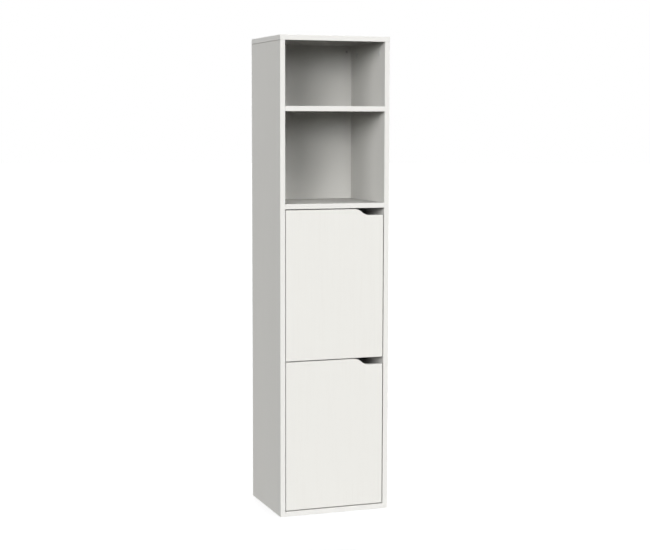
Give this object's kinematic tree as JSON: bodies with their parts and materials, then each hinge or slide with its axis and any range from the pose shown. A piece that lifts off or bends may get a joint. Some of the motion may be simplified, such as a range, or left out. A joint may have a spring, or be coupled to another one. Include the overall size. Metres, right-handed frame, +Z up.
{
  "type": "tall bathroom cabinet",
  "caption": "Tall narrow cabinet of white board with open bays at the top and inset doors below, hinged at the left, each with a curved finger cut-out at its top right corner.",
  "frame": {"origin": "middle of the footprint, on the floor", "axes": "+X to the right seen from the front, +Y to the back, towards the wall, +Z up"},
  "size_m": [0.36, 0.3, 1.5],
  "materials": {
    "white_board": "white melamine-faced chipboard, satin, with white edge band",
    "back_board": "thin hardboard, painted white on the inner face",
    "dowel_wood": "bare beech",
    "white_plastic": "white, smooth",
    "zinc_steel": "zinc plated",
    "nickel_steel": "nickel plated"
  },
  "bodies": {
    "cabinet": {"back_panel": "back_board", "back_panel_nails": "zinc_steel", "bay_divider": "white_board", "bottom_panel": "white_board", "cam_bolts": "zinc_steel", "cam_cover_caps": "white_plastic", "cam_locks": "zinc_steel", "display_shelf": "white_board", "door_head_shelf": "white_board", "hinge_clamp_screws": "zinc_steel", "hinge_plate_screws": "zinc_steel", "left_side_panel": "white_board", "lower_door_bottom_hinge_arm": "nickel_steel", "lower_door_bottom_hinge_plate": "nickel_steel", "lower_door_bottom_hinge_spring": "nickel_steel", "lower_door_top_hinge_arm": "nickel_steel", "lower_door_top_hinge_plate": "nickel_steel", "lower_door_top_hinge_spring": "nickel_steel", "lower_shelf": "white_board", "lower_shelf_pins": "zinc_steel", "right_side_panel": "white_board", "top_panel": "white_board", "upper_door_bottom_hinge_arm": "nickel_steel", "upper_door_bottom_hinge_plate": "nickel_steel", "upper_door_bottom_hinge_spring": "nickel_steel", "upper_door_top_hinge_arm": "nickel_steel", "upper_door_top_hinge_plate": "nickel_steel", "upper_door_top_hinge_spring": "nickel_steel", "upper_shelf": "white_board", "upper_shelf_pins": "zinc_steel", "wood_dowels": "dowel_wood"},
    "upper_door": {"upper_door_bottom_hinge_cup": "nickel_steel", "upper_door_bottom_hinge_pin": "nickel_steel", "upper_door_cup_screws": "zinc_steel", "upper_door_panel": "white_board", "upper_door_top_hinge_cup": "nickel_steel", "upper_door_top_hinge_pin": "nickel_steel"},
    "lower_door": {"lower_door_bottom_hinge_cup": "nickel_steel", "lower_door_bottom_hinge_pin": "nickel_steel", "lower_door_cup_screws": "zinc_steel", "lower_door_panel": "white_board", "lower_door_top_hinge_cup": "nickel_steel", "lower_door_top_hinge_pin": "nickel_steel"}
  },
  "joints": [
    {"name": "upper_door_hinge", "type": "hinge", "parent": "cabinet", "child": "upper_door", "pos_m": [-0.144, -0.142, 0.7285], "axis": [0, 0, -1], "range_deg": [0, 100]},
    {"name": "lower_door_hinge", "type": "hinge", "parent": "cabinet", "child": "lower_door", "pos_m": [-0.144, -0.142, 0.2545], "axis": [0, 0, -1], "range_deg": [0, 100]}
  ]
}
